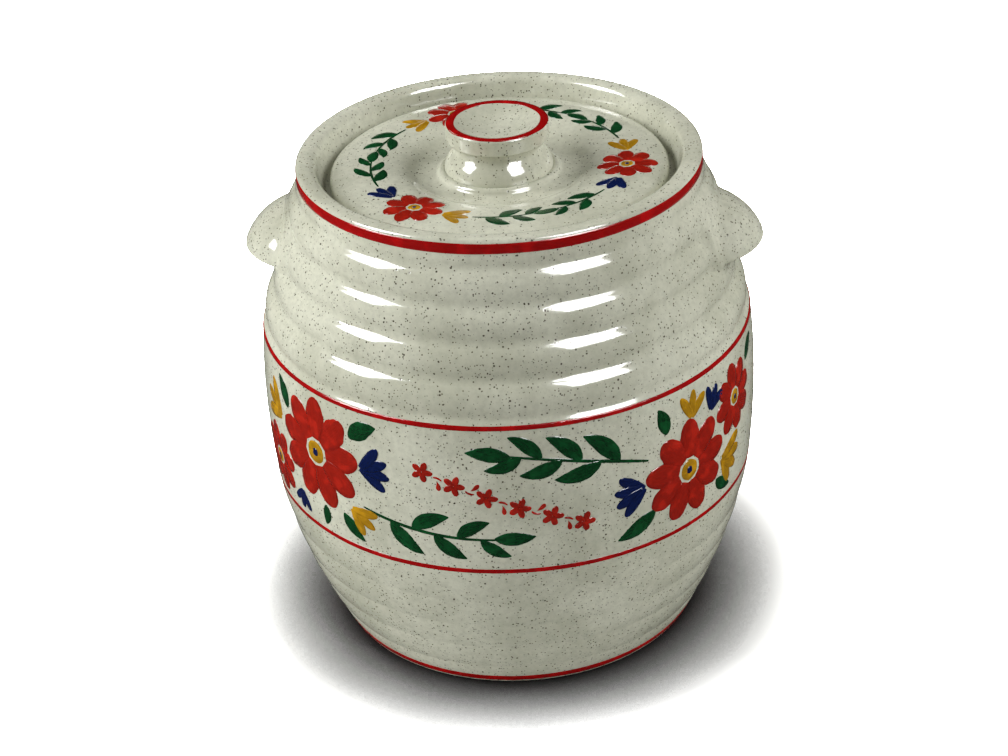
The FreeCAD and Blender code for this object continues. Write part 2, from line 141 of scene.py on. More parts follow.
class Turned:
    """Outline of a turned piece, as points every small step along it."""

    # Steps in each rounding, and the least gap between two points in millimetres
    rounding_steps = 5
    least_gap = 0.03

    def __init__(self, corners, step):
        """Corners are (radius, height, bulge, soften) in millimetres.

        bulge swells the stretch up to the next corner to the right of the way
        there, and soften is how far from the corner its rounding starts.
        """
        stretches = [
            self.stretch(corners[n], corners[n + 1], step) for n in range(len(corners) - 1)
        ]
        points = [Vector(corners[0][:2])]
        for number, line in enumerate(stretches):
            start_cut = corners[number][3]
            end_cut = corners[number + 1][3]
            start, end = line[0], line[-1]
            kept = [
                p for p in line
                if (p - start).length >= start_cut and (p - end).length >= end_cut
            ]
            if start_cut and number:
                first = self.towards(line, start_cut)
                last = self.towards(stretches[number - 1][::-1], start_cut)
                points += self.rounding(last, start, first)
            points += kept[1:] if not start_cut else kept
        self.points = [p * MM for p in self.without_repeats(points)]
        self.lengths = [0.0]
        for before, after in zip(self.points, self.points[1:]):
            self.lengths.append(self.lengths[-1] + (after - before).length)

    @staticmethod
    def stretch(corner, following, step):
        """Points from a corner to the following one, straight or on an arc."""
        start, end = Vector(corner[:2]), Vector(following[:2])
        chord = end - start
        count = max(2, math.ceil(chord.length / step))
        bulge = corner[2]
        if not bulge:
            return [start.lerp(end, k / count) for k in range(count + 1)]
        half = 2 * math.atan(2 * bulge / chord.length)
        right = Vector((chord.y, -chord.x)).normalized()
        radius = chord.length / 2 / math.sin(half)
        centre = (start + end) / 2 - right * (radius * math.cos(half))
        points = []
        for k in range(count + 1):
            angle = half * (2 * k / count - 1)
            along = chord.normalized() * (radius * math.sin(angle))
            points.append(centre + along + right * (radius * math.cos(angle)))
        return points

    @staticmethod
    def towards(line, distance):
        """The place on a line at a distance from its first point."""
        for before, after in zip(line, line[1:]):
            if (after - line[0]).length >= distance:
                near, far = (before - line[0]).length, (after - line[0]).length
                return before.lerp(after, (distance - near) / max(far - near, 1e-9))
        return line[-1]

    def rounding(self, last, corner, first):
        """Points that round a corner, from the last one before it to the first after it."""
        points = []
        for k in range(self.rounding_steps + 1):
            t = k / self.rounding_steps
            points.append(last * (1 - t) ** 2 + corner * 2 * t * (1 - t) + first * t ** 2)
        return points

    def without_repeats(self, points):
        kept = points[:1]
        for p in points[1:]:
            if (p - kept[-1]).length > self.least_gap:
                kept.append(p)
        return kept

    def at(self, way):
        """Place on the outline after a way along it, and the normal there."""
        low, high = 0, len(self.lengths) - 1
        while high - low > 1:
            middle = (low + high) // 2
            if self.lengths[middle] > way:
                high = middle
            else:
                low = middle
        before, after = self.points[low], self.points[high]
        share = (way - self.lengths[low]) / (self.lengths[high] - self.lengths[low])
        direction = (after - before).normalized()
        return before.lerp(after, share), Vector((direction.y, -direction.x))

    def way_to(self, radius, height):
        """How far along the outline the point nearest to a place lies."""
        place = Vector((radius, height)) * MM
        nearest = min(range(len(self.points)), key=lambda n: (self.points[n] - place).length)
        return self.lengths[nearest]


def wobble(turn, height):
    """How far the potter's hands pressed the wall in at a place."""
    waves_round, waves_up = 1.6, 34.0
    around = Vector((
        math.cos(turn) * waves_round, math.sin(turn) * waves_round, height * waves_up))
    return settings_shape().throwing_wobble * (0.5 + 0.5 * noise.noise(around))


def on_turned(form, turn, way, lift=0.0, uneven=True):
    """Place in space on a turned form. Turn 0 faces -Y and grows towards +X."""
    place, normal = form.at(way)
    inwards = wobble(turn, place.y) if uneven else 0.0
    radius = place.x + normal.x * lift - inwards
    return Vector((radius * math.sin(turn), -radius * math.cos(turn), place.y + normal.y * lift))


def turned_mesh(name, form, uneven):
    """Mesh of a turned form, with its axis ends closed by a fan."""
    steps = settings_shape().turn_steps
    verts, faces, rings = [], [], []
    for place in form.points:
        if place.x < 1e-6:
            rings.append([len(verts)])
            verts.append((0.0, 0.0, place.y))
            continue
        rings.append(list(range(len(verts), len(verts) + steps)))
        for k in range(steps):
            turn = math.tau * k / steps
            inwards = wobble(turn, place.y) if uneven else 0.0
            radius = place.x - inwards
            verts.append((radius * math.sin(turn), -radius * math.cos(turn), place.y))
    for lower, upper in zip(rings, rings[1:]):
        for k in range(steps):
            following = (k + 1) % steps
            if len(lower) == 1:
                faces.append((lower[0], upper[following], upper[k]))
            elif len(upper) == 1:
                faces.append((lower[k], lower[following], upper[0]))
            else:
                faces.append((lower[k], lower[following], upper[following], upper[k]))
    return make_object(name, verts, faces)


def make_object(name, verts, faces, maps=None):
    """Smooth mesh. Maps say where each vertex lies on its brush stroke."""
    mesh = bpy.data.meshes.new(name)
    mesh.from_pydata([tuple(v) for v in verts], [], faces)
    if maps:
        layer = mesh.uv_layers.new(name="brush_map")
        for loop in mesh.loops:
            layer.data[loop.index].uv = maps[loop.vertex_index]
    mesh.shade_smooth()
    mesh.update()
    obj = bpy.data.objects.new(name, mesh)
    bpy.context.scene.collection.objects.link(obj)
    return obj


# Outlines in millimetres. They follow the solids, with softer corners, a narrower seam round the
# knob's foot, and room for the paint at the belly's fullest and on the knob's top.

RIBS = 4
RINGS = 4
VALLEY_LOW = (99.4, 142.0)
VALLEY_HIGH = (82.3, 196.9)
VALLEY_BOW = 0.8
BELLY_LOW = (102.2, 72.8)
BELLY_TOP = (101.8, 138.9)
HEEL = (80.6, 4.2)
WALL_FULLNESS = 3.2
RING_FIRST, RING_PITCH, RING_DEPTH = 11.4, 14.4, 0.5
RIM_HEIGHT = 208.6
WALL = 7.0
FLOOR_HEIGHT = 10.0
FOOT_INSIDE, FOOT_OUTSIDE, FOOT_DEPTH, FOOT_SPLAY = 70.0, 78.8, 3.0, 2.5
NECK_RADIUS, NECK_HEIGHT = 82.2, 202.6
MOUTH_RADIUS, GALLERY_RADIUS = 74.6, 71.0
LEDGE_RADIUS, LEDGE_HEIGHT = 62.5, 195.0
LEDGE_THICKNESS = 3.5
LID_RADIUS, LID_EDGE_HEIGHT = 68.7, 201.8
LID_MIDDLE_UNDERSIDE, LID_UNDERSIDE = 193.4, 196.8
RING_CLEARANCE, RING_WIDTH, RING_REACH = 2.0, 4.0, 5.0
MOAT = (25.0, 199.7)
SEAT_RADIUS, SEAT_HEIGHT = 22.15, 200.6
KNOB_FOOT, KNOB_CUP = 22.1, 20.9
KNOB_TOP, DISH_BOTTOM = 220.9, 216.0


def valley(number):
    """Radius and height of a valley between two ribs, on a line that bows inwards."""
    share = number / RIBS
    dip = 4 * VALLEY_BOW * share * (1 - share)
    radius = VALLEY_LOW[0] + (VALLEY_HIGH[0] - VALLEY_LOW[0]) * share - dip
    return radius, VALLEY_LOW[1] + (VALLEY_HIGH[1] - VALLEY_LOW[1]) * share


def lower_wall(height):
    """Radius of the wall between heel and belly."""
    share = (height - HEEL[1]) / (BELLY_LOW[1] - HEEL[1])
    swell = 4 * WALL_FULLNESS * share * (1 - share)
    return HEEL[0] + (BELLY_LOW[0] - HEEL[0]) * share + swell


def pot_outline():
    corners = [
        (0.0, FOOT_DEPTH, 0, 0),
        (FOOT_INSIDE - FOOT_SPLAY, FOOT_DEPTH, 0, 0.8),
        (FOOT_INSIDE, 0.0, 0, 0.7),
        (FOOT_OUTSIDE, 0.0, 0, 0.7),
        (*HEEL, 0.28, 0.6),
    ]
    for number in range(RINGS):
        height = RING_FIRST + RING_PITCH * number
        corners.append((lower_wall(height) - RING_DEPTH, height, 0.55, 0.5))
    corners.append((*BELLY_LOW, 1.65, 1.6))
    corners.append((*BELLY_TOP, 0, 1.2))
    for number in range(RIBS):
        corners.append((*valley(number), 2.6, 1.6 if number == 0 else 3.0))
    corners += [
        (*valley(RIBS), 0.5, 2.4),
        (NECK_RADIUS, NECK_HEIGHT, 0, 0.5),
        (NECK_RADIUS, RIM_HEIGHT, 0, 2.4),
        (MOUTH_RADIUS, RIM_HEIGHT, 0, 3.2),
        (GALLERY_RADIUS, LEDGE_HEIGHT, 0, 1.6),
        (LEDGE_RADIUS, LEDGE_HEIGHT, 0, 1.1),
        (LEDGE_RADIUS, LEDGE_HEIGHT - LEDGE_THICKNESS, 0, 1.1),
        (valley(RIBS - 1)[0] - WALL, valley(RIBS - 1)[1], 0, 3.0),
        (BELLY_TOP[0] - WALL, BELLY_TOP[1], -1.95, 3.0),
        (BELLY_LOW[0] - WALL, BELLY_LOW[1], -3.2, 1.6),
        (lower_wall(FLOOR_HEIGHT) - WALL, FLOOR_HEIGHT, 0, 9.0),
        (0.0, FLOOR_HEIGHT, 0, 0),
    ]
    return Turned(corners, step=1.5)


def lid_outline():
    ring = LEDGE_RADIUS - RING_CLEARANCE
    ring_bottom = LEDGE_HEIGHT - RING_REACH
    return Turned([
        (0.0, LID_MIDDLE_UNDERSIDE, 0, 0),
        (33.0, LID_MIDDLE_UNDERSIDE, 0, 2.0),
        (45.0, LID_UNDERSIDE, 0, 2.0),
        (ring - RING_WIDTH, LID_UNDERSIDE, 0, 0.8),
        (ring - RING_WIDTH, ring_bottom, 0, 1.2),
        (ring, ring_bottom, 0, 1.2),
        (ring, LEDGE_HEIGHT, 0, 0.6),
        (LID_RADIUS, LEDGE_HEIGHT, 0, 1.0),
        (LID_RADIUS, LID_EDGE_HEIGHT, 0.9, 2.6),
        (52.0, 203.3, 0.6, 3.0),
        (37.0, 201.3, -1.4, 2.5),
        (*MOAT, 0.9, 1.0),
        (SEAT_RADIUS, 201.6, 0, 0.3),
        (SEAT_RADIUS, SEAT_HEIGHT, 0, 0),
        (0.0, SEAT_HEIGHT, 0, 0),
    ], step=0.8)


def knob_outline():
    return Turned([
        (0.0, SEAT_HEIGHT, 0, 0),
        (KNOB_FOOT, SEAT_HEIGHT, 0, 0),
        (KNOB_FOOT, 202.4, 0.5, 0.9),
        (18.3, 209.0, -0.8, 1.5),
        (18.4, 213.2, 0, 0.5),
        (KNOB_CUP, 214.2, 0, 0.7),
        (KNOB_CUP, KNOB_TOP, 0, 1.0),
        (17.2, KNOB_TOP, -1.33, 0.8),
        (0.0, DISH_BOTTOM, 0, 0),
    ], step=0.5)


@cache
def forms():
    """The turned outlines, worked out once."""
    return {"pot": pot_outline(), "lid": lid_outline(), "knob": knob_outline()}


# Lugs, in millimetres, with the angle that a lug's sheet of clay takes up in degrees

LUG_AXIS, LUG_UNDERSIDE = 76.6, 168.6
LUG_RADIUS, LUG_RISE, LUG_FULLNESS = 31.0, 18.4, 6.8
LUG_DOME = Turned([(LUG_RADIUS, 0.0, LUG_FULLNESS, 0), (0.0, LUG_RISE, 0, 0)], step=0.4).points
LUG_EDGE_HEIGHT, LUG_EDGE_SHARE = 2.4, 0.7
LUG_LIP, LUG_FILLET, LUG_SINK = 0.7, 1.0, 0.12
GROOVE_DEPTH, GROOVE_SPAN = 3.2, 6.0
SHEET_TOP, SHEET_BOTTOM, SHEET_ANGLE = 198.0, 158.0, 56.0

# The smear is a patch on the wall with round corners, raised over the line of the valleys
SMEAR_MIDDLE, SMEAR_RADIUS = 177.8, 92.0
SMEAR_HALF_WIDTH, SMEAR_HALF_HEIGHT, SMEAR_CORNER = 31.7, 12.2, 9.0
SMEAR_HEIGHT, SMEAR_SLOPE, SMEAR_CROWN, SMEAR_FILLET = 1.9, 0.9, 1.5, 2.4
SHOULDER_LEAN = 0.3115


def between(points, height):
    """Radius at a height on a line of points that only rises."""
    low, high = 0, len(points) - 1
    while high - low > 1:
        middle = (low + high) // 2
        if points[middle].y > height:
            high = middle
        else:
            low = middle
    before, after = points[low], points[high]
    share = (height - before.y) / max(after.y - before.y, 1e-9)
    return before.x + (after.x - before.x) * min(max(share, 0.0), 1.0)


def soft_larger(first, second, softness):
    """The larger of two lengths, with a hollow fillet where they meet."""
    near = max(softness - abs(first - second), 0.0) / softness
    return max(first, second) + near * near * softness / 4


def smeared_wall(wall, across, height):
    """The wall with the clay that was smeared onto it round the lug's root."""
    level = height / MM
    aside = max(abs(across) * SMEAR_RADIUS - SMEAR_HALF_WIDTH + SMEAR_CORNER, 0.0)
    beyond = max(abs(level - SMEAR_MIDDLE) - SMEAR_HALF_HEIGHT + SMEAR_CORNER, 0.0)
    outside = max(math.hypot(aside, beyond) - SMEAR_CORNER, -SMEAR_CROWN)
    line = VALLEY_LOW[0] - (level - VALLEY_LOW[1]) * SHOULDER_LEAN + SMEAR_HEIGHT
    return soft_larger(wall, (line - outside * SMEAR_SLOPE) * MM, SMEAR_FILLET * MM)


def dome_reach(across, height):
    """How far out the dome reaches at an angle from the lug's middle."""
    over = height - LUG_UNDERSIDE * MM
    radius = between(LUG_DOME, over)
    edge = LUG_EDGE_HEIGHT * MM
    if over < edge:
        curve = 1 - math.sqrt(max(0.0, 1 - ((edge - over) / edge) ** 2))
        radius -= LUG_EDGE_SHARE * edge * curve
    aside = LUG_AXIS * MM * math.sin(across)
    depth = radius ** 2 - aside ** 2
    return LUG_AXIS * MM * math.cos(across) + math.copysign(math.sqrt(abs(depth)), depth)


def lug_profile(wall, across):
    """Upright section through the lug at an angle: over the dome, under it, down the wall."""
    over_steps, under_steps, wall_steps = 42, 15, 14

    def root(level):
        return smeared_wall(between(wall, level * MM), across, level * MM)

    rows = []
    for k in range(over_steps + 1):
        level = SHEET_TOP + (LUG_UNDERSIDE + LUG_LIP - SHEET_TOP) * k / over_steps
        reach = soft_larger(root(level), dome_reach(across, level * MM), LUG_FILLET * MM)
        rows.append((reach, level * MM))
    outer, inner = rows[-1][0], root(LUG_UNDERSIDE)
    span = min(max((outer - inner) / MM / GROOVE_SPAN, 0.0), 1.0)
    for k in range(1, under_steps):
        share = k / under_steps
        groove = GROOVE_DEPTH * span * math.sin(math.pi * share) ** 2
        level = LUG_UNDERSIDE + LUG_LIP * (1 - 2 * share) + groove
        rows.append((outer + (inner - outer) * share, level * MM))
    below = LUG_UNDERSIDE - LUG_LIP
    for k in range(wall_steps + 1):
        level = below + (SHEET_BOTTOM - below) * k / wall_steps
        rows.append((root(level), level * MM))
    return smoothed(smoothed(rows))


def smoothed(rows):
    """Rows with each one between the ends drawn half way to its neighbours' middle."""
    inside = [
        tuple((a + 2 * b + c) / 4 for a, b, c in zip(rows[k - 1], rows[k], rows[k + 1]))
        for k in range(1, len(rows) - 1)
    ]
    return rows[:1] + inside + rows[-1:]


def pressed_lug(name, facing):
    """Shell of clay whose edge runs out just under the pot's own surface."""
    form = forms()["pot"]
    low, high = form.way_to(*VALLEY_LOW), form.way_to(NECK_RADIUS, 204.0)
    wall = [p for way, p in zip(form.lengths, form.points) if low <= way <= high]
    columns, fade = 113, 0.4
    verts, faces = [], []
    for j in range(columns):
        across = math.radians(SHEET_ANGLE * (j / (columns - 1) - 0.5))
        rows = lug_profile(wall, across)
        for radius, height in rows:
            raised = (radius - between(wall, height)) / MM
            sunk = LUG_SINK * (1 - min(max(raised / fade, 0.0), 1.0)) * MM
            radius -= sunk + wobble(facing + across, height)
            turn = facing + across
            verts.append((radius * math.sin(turn), -radius * math.cos(turn), height))
    count = len(rows)
    for j in range(columns - 1):
        for k in range(count - 1):
            here = j * count + k
            faces.append((here, here + 1, here + count + 1, here + count))
    return make_object(name, verts, faces)


# Materials

class Nodes:
    """Short calls for building a material's nodes."""

    def __init__(self, name):
        self.material = bpy.data.materials.new(name)
        self.material.use_nodes = True
        self.tree = self.material.node_tree
        self.shader = self.tree.nodes["Principled BSDF"]

    def add(self, kind, inputs=None, **settings):
        made = self.tree.nodes.new(f"ShaderNode{kind}")
        for key, value in settings.items():
            setattr(made, key, value)
        for socket, value in (inputs or {}).items():
            self.feed(made.inputs[socket], value)
        return made

    def feed(self, socket, value):
        if isinstance(value, bpy.types.NodeSocket):
            self.tree.links.new(value, socket)
        else:
            socket.default_value = value

    def sums(self, operation, first, second):
        return self.add("Math", {0: first, 1: second}, operation=operation).outputs[0]

    def ramp(self, value, low, high, out_low=0.0, out_high=1.0):
        limits = {"From Min": low, "From Max": high, "To Min": out_low, "To Max": out_high}
        made = self.add(
            "MapRange", {"Value": value, **limits}, interpolation_type="SMOOTHSTEP")
        return made.outputs[0]

    def mix(self, share, first, second):
        made = self.add("Mix", data_type="RGBA")
        self.feed(made.inputs[0], share)
        self.feed(made.inputs[6], first)
        self.feed(made.inputs[7], second)
        return made.outputs[2]


def colour(rgb, level=1.0):
    return (rgb[0] * level, rgb[1] * level, rgb[2] * level, 1.0)


def grey(level):
    return (level, level, level, 1.0)


def specks(nodes, place, cells, size_low, size_high, rarity):
    """Share of iron speck at a place: round spots of uneven size in some cells.

    Cells is how many stand in a metre, sizes are in metres, and rarity is the
    share of the cells that stay empty.
    """
    cell = nodes.add("TexVoronoi", {"Vector": place, "Scale": cells, "Randomness": 1.0})
    parts = nodes.add("SeparateColor", {"Color": cell.outputs["Color"]})
    reach = nodes.ramp(parts.outputs[0], 0.0, 1.0, size_low * cells, size_high * cells)
    chosen = nodes.sums("GREATER_THAN", parts.outputs[1], rarity)
    edge = nodes.sums("DIVIDE", cell.outputs["Distance"], reach)
    spot = nodes.ramp(edge, 0.55, 1.0, 1.0, 0.0)
    return nodes.sums("MULTIPLY", spot, chosen)


def glaze_material(name, specks_shown, thin_share):
    """Glossy speckled stoneware glaze, mottled by how thick it lies."""
    tones = bpy.context.scene.jar_colours
    nodes = Nodes(name)
    place = nodes.add("TexCoord").outputs["Object"]
    ragged = nodes.add("TexNoise", {"Vector": place, "Scale": 700.0, "Detail": 3.0})
    shift = nodes.add("VectorMath", {0: ragged.outputs["Color"], 3: 0.0006}, operation="SCALE")
    torn = nodes.add("VectorMath", {0: place, 1: shift.outputs[0]}, operation="ADD").outputs[0]

    broad = nodes.add("TexNoise", {"Vector": place, "Scale": 26.0, "Detail": 4.0, "Roughness": 0.6})
    fine = nodes.add("TexNoise", {"Vector": place, "Scale": 420.0, "Detail": 5.0, "Roughness": 0.7})
    thin = nodes.ramp(broad.outputs[0], 0.38, 0.68, 0.0, thin_share)
    base = nodes.mix(thin, colour(tones.glaze), colour(tones.glaze_thin))
    mottle = nodes.ramp(fine.outputs[0], 0.36, 0.72, 0.0, 0.34)
    base = nodes.mix(mottle, base, colour(tones.glaze_thin, 0.72))

    dust = specks(nodes, torn, 860.0, 0.14 * MM, 0.42 * MM, 0.80 - specks_shown)
    small = specks(nodes, torn, 520.0, 0.20 * MM, 0.55 * MM, 0.68 - specks_shown * 0.25)
    large = specks(nodes, torn, 50.0, 0.5 * MM, 1.2 * MM, 0.84)
    for spots, cover, level in ((dust, 0.9, 1.2), (small, 0.92, 0.9), (large, 0.95, 0.7)):
        base = nodes.mix(nodes.sums("MULTIPLY", spots, cover), base, colour(tones.iron, level))
    nodes.feed(nodes.shader.inputs["Base Color"], base)

    rough = nodes.ramp(fine.outputs[0], 0.3, 0.75, 0.07, 0.15)
    nodes.feed(nodes.shader.inputs["Roughness"], rough)
    nodes.shader.inputs["IOR"].default_value = 1.52

    waves = nodes.add("TexNoise", {"Vector": place, "Scale": 95.0, "Detail": 2.0})
    pits = nodes.sums("SUBTRACT", waves.outputs[0], nodes.sums("MULTIPLY", small, 0.35))
    bump = nodes.add("Bump", {"Strength": 0.16, "Distance": 0.0006, "Height": pits})
    nodes.feed(nodes.shader.inputs["Normal"], bump.outputs[0])
    return nodes.material


def paint_material(name, tone, depth, streaks):
    """Glossy brushed paint, made once: streaks along the stroke, paler clouds, dark grains."""
    if name in bpy.data.materials:
        return bpy.data.materials[name]
    nodes = Nodes(name)
    stroke = nodes.add("UVMap", uv_map="brush_map").outputs[0]
    place = nodes.add("TexCoord").outputs["Object"]
    stretched = nodes.add("Mapping", {"Vector": stroke, "Scale": (0.09, 0.85, 1.0)})
    hairs = nodes.add("TexNoise", {
        "Vector": stretched.outputs[0], "Scale": 3.2, "Detail": 4.0, "Roughness": 0.65})
    cloud = nodes.add("TexNoise", {"Vector": place, "Scale": 170.0, "Detail": 3.0})
    grains = nodes.add("TexNoise", {"Vector": place, "Scale": 900.0, "Detail": 4.0, "Roughness": 0.8})
    streak = nodes.ramp(hairs.outputs[0], 0.34, 0.66)
    base = nodes.mix(nodes.sums("MULTIPLY", streak, streaks), colour(tone), colour(tone, depth))
    base = nodes.mix(nodes.ramp(cloud.outputs[0], 0.48, 0.66, 0.0, 0.3), base, colour(tone, 2.2))
    base = nodes.mix(nodes.ramp(grains.outputs[0], 0.62, 0.74, 0.0, 0.5), base, colour(tone, 0.35))
    nodes.feed(nodes.shader.inputs["Base Color"], base)
    nodes.feed(nodes.shader.inputs["Roughness"], nodes.ramp(hairs.outputs[0], 0.3, 0.7, 0.09, 0.17))
    nodes.shader.inputs["IOR"].default_value = 1.5
    bump = nodes.add("Bump", {"Strength": 0.15, "Distance": 0.0003, "Height": hairs.outputs[0]})
    nodes.feed(nodes.shader.inputs["Normal"], bump.outputs[0])
    return nodes.material


def paints():
    """The painter's four colours, each with the level of its streaks and how far they show."""
    tones = bpy.context.scene.jar_colours
    recipes = {
        "red": (tones.red, 0.62, 0.8),
        "green": (tones.green, 0.45, 0.9),
        "yellow": (tones.yellow, 0.62, 0.9),
        "blue": (tones.blue, 1.7, 0.75),
    }
    return {word: paint_material(f"{word}_brushwork", *recipe) for word, recipe in recipes.items()}


# Brush strokes

# Each kind of stroke is a way for its width to grow and shrink from start to end.
WIDTHS = {
    "leaf": lambda t: math.sin(math.pi * t ** 0.85) ** 0.85,
    "comma": lambda t: max(0.0, math.sin(math.pi * t ** 1.9)) ** 0.62,
    "petal": lambda t: max(0.0, math.sin(math.pi * (0.12 + 0.88 * t) ** 1.35)) ** 0.5,
    "stem": lambda t: 0.35 + 0.65 * math.sin(math.pi * t) ** 0.5 * (1 - 0.5 * t),
    "disc": lambda t: math.sqrt(max(0.0, 1 - (2 * t - 1) ** 2)),
}
LAYERS = {"green": 1, "yellow": 2, "red": 3, "blue": 4}
STROKE_SECTION = (-1.0, -0.97, -0.5, 0.0, 0.5, 0.97, 1.0)
BAND_SECTION = (-0.02, 0.0, 0.25, 0.5, 0.75, 1.0, 1.02)


def ahead(angle):
    """One millimetre on a sheet, at an angle from across towards up."""
    return Vector((math.cos(angle), math.sin(angle)))


class Brushwork:
    """Strokes of one ornament, kept by colour, in millimetres on its own sheet."""

    def __init__(self, onto, seed):
        self.onto = onto
        self.chance = random.Random(seed)
        self.strokes = {word: [] for word in LAYERS}
        self.origin = Vector((0.0, 0.0))
        self.turn = 0.0

    def move(self, across, up, turn=0.0):
        """Paint what follows round another place, turned by an angle in degrees."""
        self.origin = Vector((across, up))
        self.turn = turn

    def stroke(self, word, kind, across, up, heading, length, width, bend=0.0):
        """One pull of the brush from a place, heading and bending in degrees."""
        pitch, seeds = 0.8, 40
        count = max(8, round(length / pitch))
        place = Vector((across, up))
        line = [place.copy()]
        for k in range(count):
            angle = math.radians(heading + bend * ((k + 0.5) / count - 0.5))
            place = place + ahead(angle) * (length / count)
            line.append(place.copy())
        turned = Matrix.Rotation(math.radians(self.turn), 2)
        line = [self.origin + turned @ p for p in line]
        self.strokes[word].append((kind, line, width / 2, self.chance.random() * seeds))

    def leaf(self, across, up, heading, length, width, bend):
        self.stroke("green", "leaf", across, up, heading, length, width, bend)

    def spray(self, across, up, heading, length, bend, leaves, leaf_length, leaf_width, spread):
        """Stem with leaves in turn on both sides, smaller towards its tip."""
        stem_width, first_leaf, shrinking, leaf_bend = 0.22, 0.22, 0.35, 38
        tip_place, tip_size = 0.93, 0.8
        root = Vector((across, up))
        self.stroke("green", "stem", across, up, heading, length, leaf_width * stem_width, bend)
        for number in range(leaves):
            share = first_leaf + (1 - first_leaf) * number / leaves
            angle = math.radians(heading - bend / 2 + bend * share / 2)
            side = 1 if number % 2 else -1
            size = 1 - shrinking * share
            here = root + ahead(angle) * (length * share)
            lean = math.degrees(angle) + bend * share / 2 + side * spread
            self.leaf(
                here.x, here.y, lean, leaf_length * size, leaf_width * size, -side * leaf_bend)
        tip = root + ahead(math.radians(heading)) * length * tip_place
        self.leaf(
            tip.x, tip.y, heading + bend / 2, leaf_length * tip_size, leaf_width * tip_size, bend)

    def marguerite(self, across, up, size, petals):
        """Round flower seen from the front: red petals round a yellow eye with a blue dot."""
        first_turn, heart, crowding, petal_bend = 0.25, 0.25, 4.4, 12
        for number in range(petals):
            lean = 360.0 * (number + first_turn) / petals
            reach = size * (0.76 + 0.05 * self.chance.random())
            root = ahead(math.radians(lean)) * size * heart
            self.stroke(
                "red", "petal", across + root.x, up + root.y, lean,
                reach, size * crowding / petals, petal_bend)
        for word, share in (("yellow", 0.42), ("blue", 0.15)):
            self.stroke(word, "disc", across - size * share / 2, up, 0, size * share, size * share)

    def bell(self, word, across, up, heading, size, petals, fan):
        """Small flower from the side: a fan of rounded petals."""
        slimness, curl = 0.36, 0.35
        for number in range(petals):
            lean = fan * (number / (petals - 1) - 0.5)
            self.stroke(
                word, "petal", across, up, heading + lean, size, size * slimness, lean * curl)

    def paint(self, name, body):
        """Lay every stroke on the surface, one piece for each colour.

        A later stroke of a colour lies a little higher, so that overlapping skins
        don't coincide.
        """
        rise = 0.02
        for word, strokes in self.strokes.items():
            if not strokes:
                continue
            lift = settings_shape().paint_lift * (1 + LAYERS[word])
            verts, faces, maps = [], [], []
            for number, stroke in enumerate(strokes):
                self.lay(verts, faces, maps, *stroke, lift * (1 + rise * number))
            piece = make_object(f"{name}_{word}", verts, faces, maps)
            piece.data.materials.append(paints()[word])
            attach(piece, body)

    def lay(self, verts, faces, maps, kind, line, half_width, seed, lift):
        """One stroke as a thin skin whose edge dips into the surface."""
        sunk = settings_shape().paint_lift
        ends, narrowest = 0.004, 0.05
        raggedness, waves, seed_shift = 0.09, 0.35, 7
        start = len(verts)
        way = 0.0
        for k, place in enumerate(line):
            before, after = line[max(k - 1, 0)], line[min(k + 1, len(line) - 1)]
            way += (place - before).length
            side = Vector((before.y - after.y, after.x - before.x)).normalized()
            share = min(max(k / (len(line) - 1), ends), 1 - ends)
            ragged = 1 + raggedness * noise.noise(Vector((way * waves, seed, 0.0)))
            width = max(half_width * WIDTHS[kind](share) * ragged, narrowest)
            end = k in (0, len(line) - 1)
            for step in STROKE_SECTION:
                spot = place + side * (step * width)
                edge = end or abs(step) == 1.0
                verts.append(self.onto(spot.x, spot.y, -sunk if edge else lift))
                maps.append((way + seed * seed_shift, step * width + seed))
        columns = len(STROKE_SECTION)
        for k in range(len(line) - 1):
            for j in range(columns - 1):
                first = start + k * columns + j
                faces.append((first, first + columns, first + columns + 1, first + 1))


# Pieces

BELLY_RADIUS = 103.6


def on_belly(turn_at, height_at):
    """Sheet for ornament on the belly: across is round the jar, up is its height."""
    form = forms()["pot"]
    start = form.way_to(*BELLY_LOW)

    def onto(across, up, lift):
        height = (height_at + up) * MM
        way = start + (height - BELLY_LOW[1] * MM)
        for repeat in range(3):
            way += height - form.at(way)[0].y
        return on_turned(form, math.radians(turn_at) + across / BELLY_RADIUS, way, lift)

    return onto


def on_lid(across, up, lift):
    """Sheet for ornament on the lid: across is +X and up is +Y, from its middle."""
    form = forms()["lid"]
    radius = math.hypot(across, up) * MM
    low, high = form.way_to(LID_RADIUS, LID_EDGE_HEIGHT), form.way_to(*MOAT)
    for repeat in range(24):
        way = (low + high) / 2
        if form.at(way)[0].x > radius:
            low = way
        else:
            high = way
    turn = math.atan2(across, -up)
    return on_turned(form, turn, way, lift, uneven=False)


